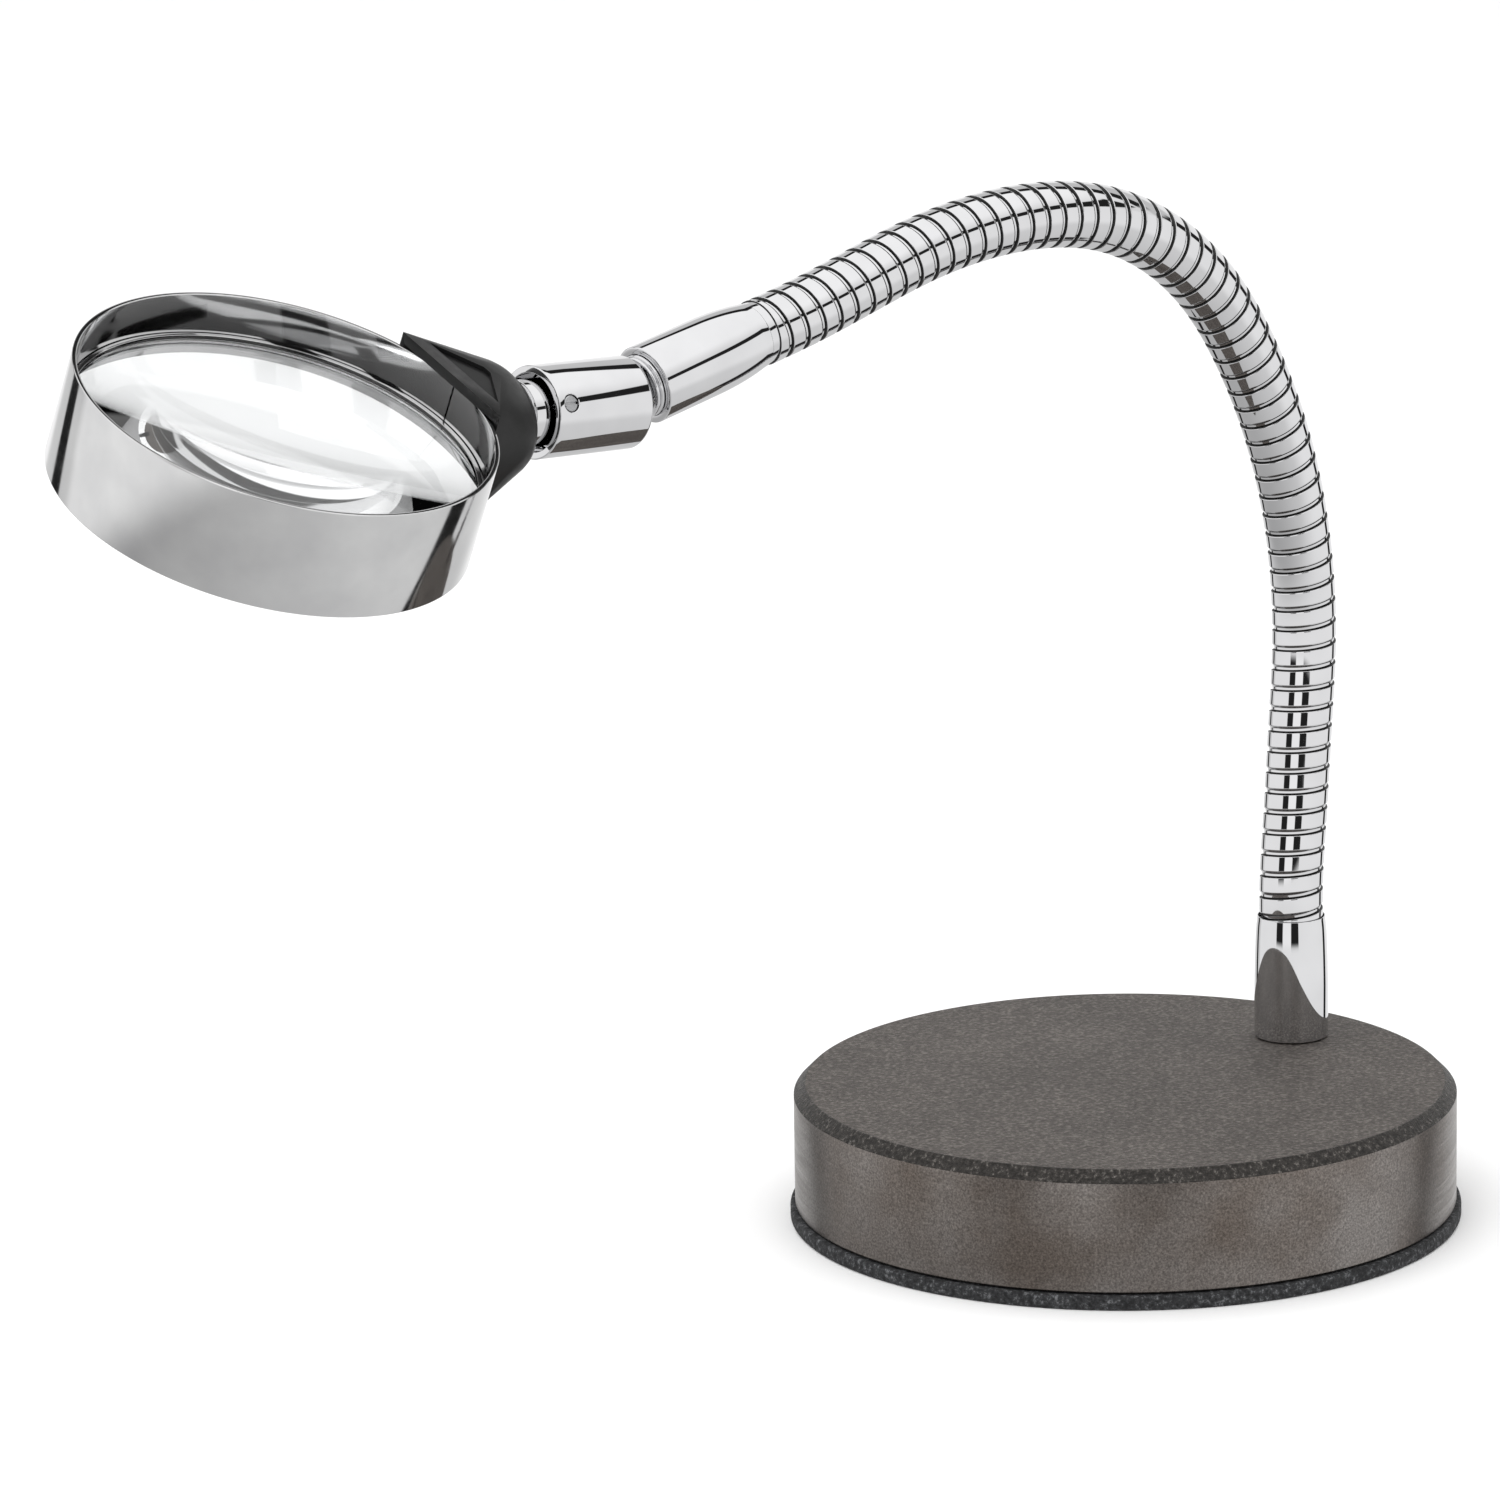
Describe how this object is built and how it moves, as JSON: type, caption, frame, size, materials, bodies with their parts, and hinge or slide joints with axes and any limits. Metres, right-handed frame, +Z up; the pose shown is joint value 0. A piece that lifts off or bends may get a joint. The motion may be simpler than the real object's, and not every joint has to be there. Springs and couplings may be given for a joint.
{
  "type": "desk magnifier on a gooseneck stand",
  "caption": "Unlit desk magnifier: a clear lens in a tall metal ring on a ball joint at the end of a stay-put chrome gooseneck, standing on a heavy round base.",
  "frame": {"origin": "centre of the underside of the foot pad, on the table", "axes": "+Z up; the neck stands on the +X side of the base and reaches over to -X, where the lens is; the neck and handle lie in the XZ plane"},
  "size_m": [0.3581, 0.1522, 0.2398],
  "materials": {
    "cast_body": "fine-grained dark coating on top, satin turned side",
    "foam": "matt speckled foam rubber",
    "chrome": "polished",
    "steel": "plain turned or zinc plated",
    "brass": "turned",
    "nylon": "natural nylon",
    "black_plastic": "satin black moulding",
    "glass": "clear polished"
  },
  "bodies": {
    "base": {"foot_pad": "foam", "base_disc": "cast_body", "base_washer": "steel", "base_screw": "steel", "lower_ferrule": "chrome", "neck_foot_plug": "steel", "neck_link_01": "chrome"},
    "neck_02": {"neck_link_02": "chrome"},
    "neck_03": {"neck_link_03": "chrome"},
    "neck_04": {"neck_link_04": "chrome"},
    "neck_05": {"neck_link_05": "chrome"},
    "neck_06": {"neck_link_06": "chrome"},
    "neck_07": {"neck_link_07": "chrome"},
    "neck_08": {"neck_link_08": "chrome"},
    "neck_09": {"neck_link_09": "chrome"},
    "neck_10": {"neck_link_10": "chrome"},
    "neck_11": {"neck_link_11": "chrome"},
    "neck_12": {"neck_link_12": "chrome"},
    "neck_13": {"neck_link_13": "chrome"},
    "neck_14": {"neck_link_14": "chrome"},
    "neck_15": {"neck_link_15": "chrome"},
    "neck_16": {"neck_link_16": "chrome"},
    "ferrule": {"neck_link_17": "chrome", "neck_head_plug": "steel", "upper_ferrule": "chrome", "ball_stud": "chrome"},
    "liner": {"ball_liner": "nylon"},
    "retaining_ring": {"ball_retaining_ring": "steel"},
    "socket": {"clamp_sleeve": "chrome", "clamp_screw": "steel", "thrust_pad": "nylon", "pressure_spring": "steel"},
    "head": {"stem": "chrome", "holder": "black_plastic", "holder_insert": "brass", "lens_ring": "chrome", "lens": "glass", "lens_retaining_ring": "steel", "lens_seat_ring": "steel"}
  },
  "joints": [
    {"name": "neck_bend_01", "type": "hinge", "parent": "base", "child": "neck_02", "pos_m": [0.05246, 0, 0.066], "axis": [0.9993, 0, -0.0368], "range_deg": [-9, 9]},
    {"name": "neck_bend_02", "type": "hinge", "parent": "neck_02", "child": "neck_03", "pos_m": [0.05383, 0, 0.08464], "axis": [0, -1, 0], "range_deg": [-12, 2.5]},
    {"name": "neck_bend_03", "type": "hinge", "parent": "neck_03", "child": "neck_04", "pos_m": [0.05527, 0, 0.10328], "axis": [0.9973, 0, -0.073], "range_deg": [-9, 9]},
    {"name": "neck_bend_04", "type": "hinge", "parent": "neck_04", "child": "neck_05", "pos_m": [0.05656, 0, 0.12193], "axis": [0, -1, 0], "range_deg": [-12, 2.5]},
    {"name": "neck_bend_05", "type": "hinge", "parent": "neck_05", "child": "neck_06", "pos_m": [0.05583, 0, 0.14059], "axis": [0.994, 0, 0.1092], "range_deg": [-9, 9]},
    {"name": "neck_bend_06", "type": "hinge", "parent": "neck_06", "child": "neck_07", "pos_m": [0.05249, 0, 0.15897], "axis": [0, -1, 0], "range_deg": [-12, 2.5]},
    {"name": "neck_bend_07", "type": "hinge", "parent": "neck_07", "child": "neck_08", "pos_m": [0.04661, 0, 0.17669], "axis": [0.9247, 0, 0.3807], "range_deg": [-9, 9]},
    {"name": "neck_bend_08", "type": "hinge", "parent": "neck_08", "child": "neck_09", "pos_m": [0.03831, 0, 0.19343], "axis": [0, -1, 0], "range_deg": [-12, 2.5]},
    {"name": "neck_bend_09", "type": "hinge", "parent": "neck_09", "child": "neck_10", "pos_m": [0.02755, 0, 0.20868], "axis": [0.7411, 0, 0.6714], "range_deg": [-9, 9]},
    {"name": "neck_bend_10", "type": "hinge", "parent": "neck_10", "child": "neck_11", "pos_m": [0.01345, 0, 0.22087], "axis": [0, -1, 0], "range_deg": [-12, 2.5]},
    {"name": "neck_bend_11", "type": "hinge", "parent": "neck_11", "child": "neck_12", "pos_m": [-0.00333, 0, 0.22898], "axis": [0.3145, 0, 0.9493], "range_deg": [-9, 9]},
    {"name": "neck_bend_12", "type": "hinge", "parent": "neck_12", "child": "neck_13", "pos_m": [-0.02164, 0, 0.23249], "axis": [0, -1, 0], "range_deg": [-12, 2.5]},
    {"name": "neck_bend_13", "type": "hinge", "parent": "neck_13", "child": "neck_14", "pos_m": [-0.04032, 0, 0.23248], "axis": [-0.0722, 0, 0.9974], "range_deg": [-9, 9]},
    {"name": "neck_bend_14", "type": "hinge", "parent": "neck_14", "child": "neck_15", "pos_m": [-0.0588, 0, 0.2298], "axis": [0, -1, 0], "range_deg": [-12, 2.5]},
    {"name": "neck_bend_15", "type": "hinge", "parent": "neck_15", "child": "neck_16", "pos_m": [-0.07688, 0, 0.22505], "axis": [-0.2566, 0, 0.9665], "range_deg": [-9, 9]},
    {"name": "neck_bend_16", "type": "hinge", "parent": "neck_16", "child": "ferrule", "pos_m": [-0.09493, 0, 0.22021], "axis": [0, -1, 0], "range_deg": [-12, 2.5]},
    {"name": "ball_tilt", "type": "hinge", "parent": "ferrule", "child": "liner", "pos_m": [-0.14971, 0, 0.20856], "axis": [0, 1, 0], "range_deg": [-33, 1.8]},
    {"name": "ball_swing", "type": "hinge", "parent": "liner", "child": "retaining_ring", "pos_m": [-0.14971, 0, 0.20856], "axis": [0.0558, 0, 0.9984], "range_deg": [-15, 15]},
    {"name": "ball_roll", "type": "hinge", "parent": "retaining_ring", "child": "socket", "pos_m": [-0.14971, 0, 0.20856], "axis": [-0.9984, 0, 0.0558], "continuous": true},
    {"name": "head_turn", "type": "hinge", "parent": "socket", "child": "head", "pos_m": [-0.16768, 0, 0.20957], "axis": [-0.9984, 0, 0.0558], "continuous": true}
  ]
}
